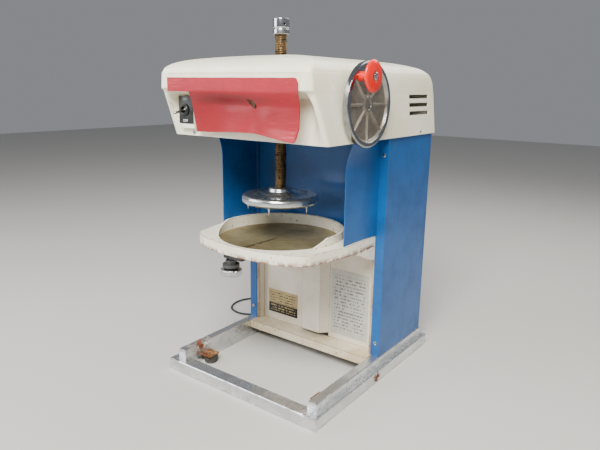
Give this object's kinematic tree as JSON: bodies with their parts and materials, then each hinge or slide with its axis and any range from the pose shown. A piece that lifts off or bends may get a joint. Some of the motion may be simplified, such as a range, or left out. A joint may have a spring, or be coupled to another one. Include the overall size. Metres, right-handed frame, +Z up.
{
  "type": "electric block ice shaver",
  "caption": "Electric shaver for block ice: a screw spindle clamps and turns the block on a slotted blade table, over an open floor frame for the bowl.",
  "frame": {"origin": "on the floor, under the middle of the machine's outer box without its cord", "axes": "+Z up, +Y to the back (cabinet and cord), +X to the handwheel side"},
  "size_m": [0.5471, 0.5447, 0.6929],
  "materials": {
    "foil_tape": "crumpled aluminium tape over steel",
    "cream_steel": "aged cream paint with rust at the edges",
    "rubber": "aged rubber",
    "rusty_steel": "rusted steel",
    "blue_steel": "blue stove enamel on sheet steel",
    "label_metal": "printed metal plate",
    "label_film": "printed film label",
    "cream_enamel": "chipped cream enamel on cast iron",
    "stained_steel": "worn stainless steel",
    "steel": "turned steel",
    "grey_cast": "sand-cast iron",
    "bronze": "machined bronze",
    "worn_brass": "greasy brown screw thread",
    "chrome": "chrome plate",
    "wheel_cast": "die-cast web with a polished rim",
    "orange_plastic": "moulded phenolic",
    "motor_paint": "dark grey paint",
    "belt_rubber": "moulded rubber",
    "hood_enamel": "warm white stove enamel",
    "red_vinyl": "scuffed red vinyl sheet",
    "black_plastic": "moulded black plastic",
    "cord_rubber": "dark green rubber sheath"
  },
  "bodies": {
    "machine": {"base_ring": "foil_tape", "left_rail": "foil_tape", "right_rail": "foil_tape", "cross_rail": "cream_steel", "rubber_feet": "rubber", "foot_brackets": "rusty_steel", "left_post": "cream_steel", "right_post": "cream_steel", "left_cover": "blue_steel", "right_cover": "blue_steel", "back_cover": "blue_steel", "lower_front_panel": "cream_steel", "nameplate": "label_metal", "instruction_label": "label_film", "chamber_back_panel": "blue_steel", "left_guard": "blue_steel", "right_guard": "blue_steel", "table": "cream_enamel", "blade_plate": "stained_steel", "head_plate": "grey_cast", "head_bridge": "grey_cast", "bridge_pillars": "grey_cast", "spindle_bush": "bronze", "handwheel_bearing": "grey_cast", "motor_body": "motor_paint", "drive_belt": "belt_rubber", "run_capacitor": "steel", "hood": "hood_enamel", "vinyl_sheet": "red_vinyl", "switch_bracket": "hood_enamel", "switch_plate": "black_plastic", "switch_boss": "black_plastic", "cover_screws": "chrome", "cord_gland": "black_plastic", "cord_tube": "cord_rubber", "cord_coil": "cord_rubber", "cord_plug": "black_plastic"},
    "spindle_drive": {"drive_gear": "grey_cast"},
    "press": {"screw_shaft": "worn_brass", "stop_collar": "chrome", "clamp_disc": "chrome", "ice_spikes": "chrome"},
    "handwheel_set": {"handwheel": "wheel_cast", "handwheel_shaft": "steel", "bevel_pinion": "grey_cast", "grip_bolt": "chrome"},
    "grip": {"wheel_grip": "orange_plastic"},
    "nut": {"feed_nut": "bronze"},
    "counter": {"countershaft": "steel", "counter_pinion": "grey_cast", "big_pulley": "grey_cast"},
    "motor_rotor": {"motor_shaft": "steel", "motor_pulley": "grey_cast"},
    "blade_holder": {"blade": "steel", "blade_seat": "grey_cast"},
    "knob": {"blade_knob": "chrome", "knob_stud": "steel", "knob_locknut": "grey_cast"},
    "lever": {"switch_lever": "chrome"}
  },
  "joints": [
    {"name": "spindle_spin", "type": "hinge", "parent": "machine", "child": "spindle_drive", "pos_m": [-0.0169, -0.081, 0.5], "axis": [0, 0, 1], "continuous": true},
    {"name": "press_feed", "type": "slide", "parent": "spindle_drive", "child": "press", "axis": [0, 0, 1], "range_m": [-0.0505, 0.0845]},
    {"name": "handwheel_turn", "type": "hinge", "parent": "machine", "child": "handwheel_set", "pos_m": [0.1741, -0.081, 0.547], "axis": [1, 0, 0], "range_deg": [-2250, 3780]},
    {"name": "grip_spin", "type": "hinge", "parent": "handwheel_set", "child": "grip", "pos_m": [0.1841, -0.11392, 0.59231], "axis": [1, 0, 0], "continuous": true},
    {"name": "feed_nut_turn", "type": "hinge", "parent": "machine", "child": "nut", "pos_m": [-0.0169, -0.081, 0.59], "axis": [0, 0, 1], "range_deg": [-3781, 2251]},
    {"name": "countershaft_spin", "type": "hinge", "parent": "machine", "child": "counter", "pos_m": [-0.0169, 0.01275, 0.52], "axis": [0, 0, 1], "continuous": true},
    {"name": "motor_spin", "type": "hinge", "parent": "machine", "child": "motor_rotor", "pos_m": [-0.0169, 0.13075, 0.52], "axis": [0, 0, 1], "continuous": true},
    {"name": "blade_knob_turn", "type": "hinge", "parent": "machine", "child": "knob", "pos_m": [-0.0509, -0.1848, 0.24], "axis": [0, 0, 1], "range_deg": [-360, 360]},
    {"name": "blade_lift", "type": "slide", "parent": "machine", "child": "blade_holder", "axis": [0, 0, 1], "range_m": [-0.00101, 0.00101]},
    {"name": "switch_throw", "type": "hinge", "parent": "machine", "child": "lever", "pos_m": [-0.1509, -0.1958, 0.531], "axis": [1, 0, 0], "range_deg": [-24, 0]}
  ],
  "couplings": [
    {"joint": "press_feed", "follows": "handwheel_turn", "m_per_rad": 0.0012732},
    {"joint": "feed_nut_turn", "follows": "handwheel_turn", "ratio": -1},
    {"joint": "countershaft_spin", "follows": "spindle_spin", "ratio": -4},
    {"joint": "motor_spin", "follows": "spindle_spin", "ratio": -12.108},
    {"joint": "blade_lift", "follows": "blade_knob_turn", "m_per_rad": 0.00015915}
  ]
}
